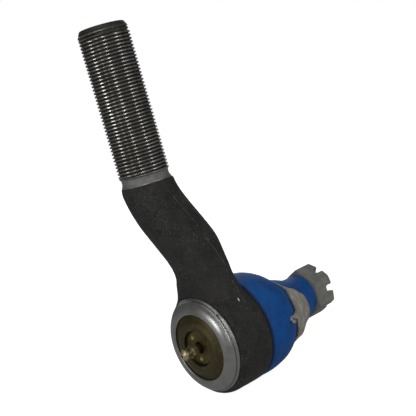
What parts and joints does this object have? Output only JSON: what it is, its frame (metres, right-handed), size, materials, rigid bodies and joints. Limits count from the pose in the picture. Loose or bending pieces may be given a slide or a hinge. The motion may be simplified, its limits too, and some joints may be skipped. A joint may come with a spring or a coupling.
{
  "type": "tie rod end",
  "caption": "Cranked forged steel ball joint with an externally threaded stem, greasable cover, tapered ball stud, slotted nut and bell-shaped rubber dust boot.",
  "frame": {"origin": "centre of the threaded stem's free end face", "axes": "+Z out along the stem, away from the ball; +Y along the ball stud at rest, from the cover towards the slotted nut; the ball is offset towards +X"},
  "size_m": [0.0812, 0.1194, 0.2283],
  "materials": {
    "forged_steel": "black as-forged skin, fine grain, with machined grey faces and an oily cut thread",
    "hardened_steel": "ground and polished",
    "spring_steel": "dark drawn wire",
    "yellow_zinc": "aged yellow-passivated zinc on pressed steel",
    "fitting_brass": "dull gold passivated",
    "blue_rubber": "deep blue moulded rubber, slightly dusty",
    "plain_steel": "matte grey phosphated steel",
    "tan_band": "crumpled tan wrap",
    "seat_polymer": "moulded bearing polymer"
  },
  "bodies": {
    "socket": {"socket_body": "forged_steel", "upper_seat": "hardened_steel", "seat_spring": "spring_steel", "cover_plate": "yellow_zinc", "grease_fitting": "fitting_brass", "fitting_spring": "spring_steel", "boot_base_ring": "spring_steel"},
    "seat": {"pressure_seat": "seat_polymer", "dust_boot": "blue_rubber"},
    "stud_neck": {"boot_neck_ring": "spring_steel", "boot_band": "tan_band"},
    "stud": {"ball_stud": "hardened_steel"},
    "nut": {"slotted_nut": "plain_steel"},
    "check_ball": {"fitting_ball": "hardened_steel"}
  },
  "joints": [
    {"name": "swing_direction", "type": "hinge", "parent": "socket", "child": "seat", "pos_m": [0.033, -0.0006, -0.1963], "axis": [0, 1, 0], "continuous": true},
    {"name": "stud_swing", "type": "hinge", "parent": "seat", "child": "stud_neck", "pos_m": [0.033, -0.0006, -0.1963], "axis": [1, 0, 0], "range_deg": [-20, 20], "deforming": ["dust_boot"]},
    {"name": "stud_spin", "type": "hinge", "parent": "stud_neck", "child": "stud", "pos_m": [0.033, -0.0006, -0.1963], "axis": [0, 1, 0], "continuous": true},
    {"name": "nut_turn", "type": "hinge", "parent": "stud", "child": "nut", "pos_m": [0.033, 0.0763, -0.1963], "axis": [0, 1, 0], "continuous": true},
    {"name": "check_ball_travel", "type": "slide", "parent": "socket", "child": "check_ball", "axis": [0, 1, 0], "range_m": [0, 0.0008], "stiffness_N_per_m": 150, "springref_m": -0.002}
  ]
}
